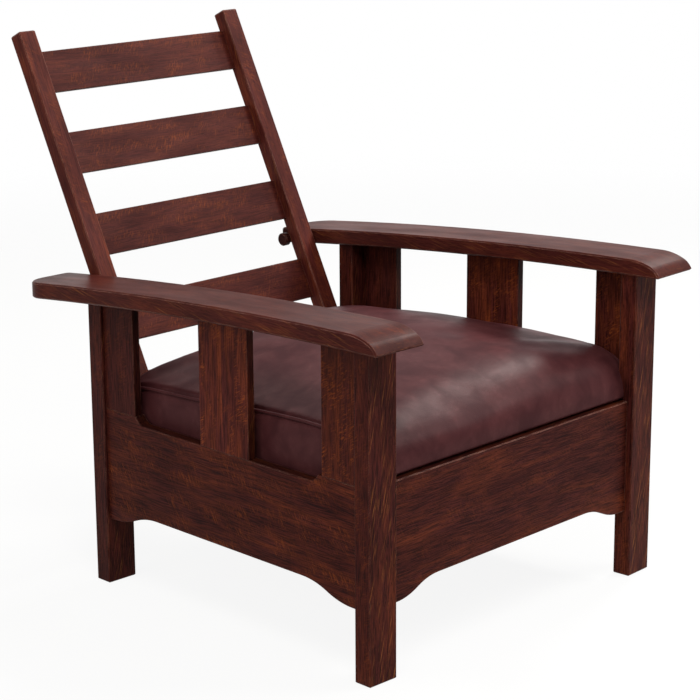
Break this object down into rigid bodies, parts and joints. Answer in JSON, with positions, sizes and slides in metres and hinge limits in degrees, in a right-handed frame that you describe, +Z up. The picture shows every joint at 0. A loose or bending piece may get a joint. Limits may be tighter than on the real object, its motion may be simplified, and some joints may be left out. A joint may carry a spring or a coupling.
{
  "type": "reclining armchair",
  "caption": "Oak mission armchair with bowed slatted arms, a hinged slatted back that leans on pegs, and a loose leather seat cushion.",
  "frame": {"origin": "on the floor, at the bottom centre of the chair's bounding box with the back leaning on its pegs", "axes": "+Z up, the chair's front faces -Y, +X to the sitter's left"},
  "size_m": [0.8072, 1.021, 0.9473],
  "materials": {
    "fumed_oak": "satin, fumed and waxed quarter-sawn oak, dark red-brown",
    "deck_wood": "plain sawn secondary wood, unfinished",
    "seat_leather": "satin oxblood hide",
    "hinge_steel": "dull, darkened steel"
  },
  "bodies": {
    "frame": {"right_front_post": "fumed_oak", "right_rear_post": "fumed_oak", "right_side_rail": "fumed_oak", "right_front_slat": "fumed_oak", "right_middle_slat": "fumed_oak", "right_rear_slat": "fumed_oak", "right_arm": "fumed_oak", "right_seat_cleat": "deck_wood", "right_hinge_lower_leaf": "hinge_steel", "right_hinge_pin": "hinge_steel", "left_front_post": "fumed_oak", "left_rear_post": "fumed_oak", "left_side_rail": "fumed_oak", "left_front_slat": "fumed_oak", "left_middle_slat": "fumed_oak", "left_rear_slat": "fumed_oak", "left_arm": "fumed_oak", "left_seat_cleat": "deck_wood", "left_hinge_lower_leaf": "hinge_steel", "left_hinge_pin": "hinge_steel", "front_rail": "fumed_oak", "rear_rail": "fumed_oak", "hinge_lower_screws": "hinge_steel", "cleat_screws": "hinge_steel", "deck_screws": "hinge_steel", "seat_slat_1": "deck_wood", "seat_slat_2": "deck_wood", "seat_slat_3": "deck_wood", "seat_slat_4": "deck_wood", "seat_slat_5": "deck_wood", "seat_slat_6": "deck_wood"},
    "back": {"right_stile": "fumed_oak", "left_stile": "fumed_oak", "back_bottom_rail": "fumed_oak", "back_slat_1": "fumed_oak", "back_slat_2": "fumed_oak", "back_slat_3": "fumed_oak", "back_slat_4": "fumed_oak", "right_hinge_upper_leaf": "hinge_steel", "left_hinge_upper_leaf": "hinge_steel", "hinge_upper_screws": "hinge_steel"},
    "right_peg": {"right_peg": "fumed_oak"},
    "left_peg": {"left_peg": "fumed_oak"},
    "cushion": {"seat_cushion": "seat_leather"}
  },
  "joints": [
    {"name": "back_recline", "type": "hinge", "parent": "frame", "child": "back", "pos_m": [0, 0.21986, 0.3255], "axis": [1, 0, 0], "range_deg": [0, 25]},
    {"name": "right_peg_pull", "type": "slide", "parent": "frame", "child": "right_peg", "axis": [1, 0, 0], "range_m": [0, 0.06]},
    {"name": "left_peg_pull", "type": "slide", "parent": "frame", "child": "left_peg", "axis": [-1, 0, 0], "range_m": [0, 0.06]},
    {"name": "cushion_lift", "type": "slide", "parent": "frame", "child": "cushion", "axis": [0, 0, 1], "range_m": [0, 0.1]}
  ]
}
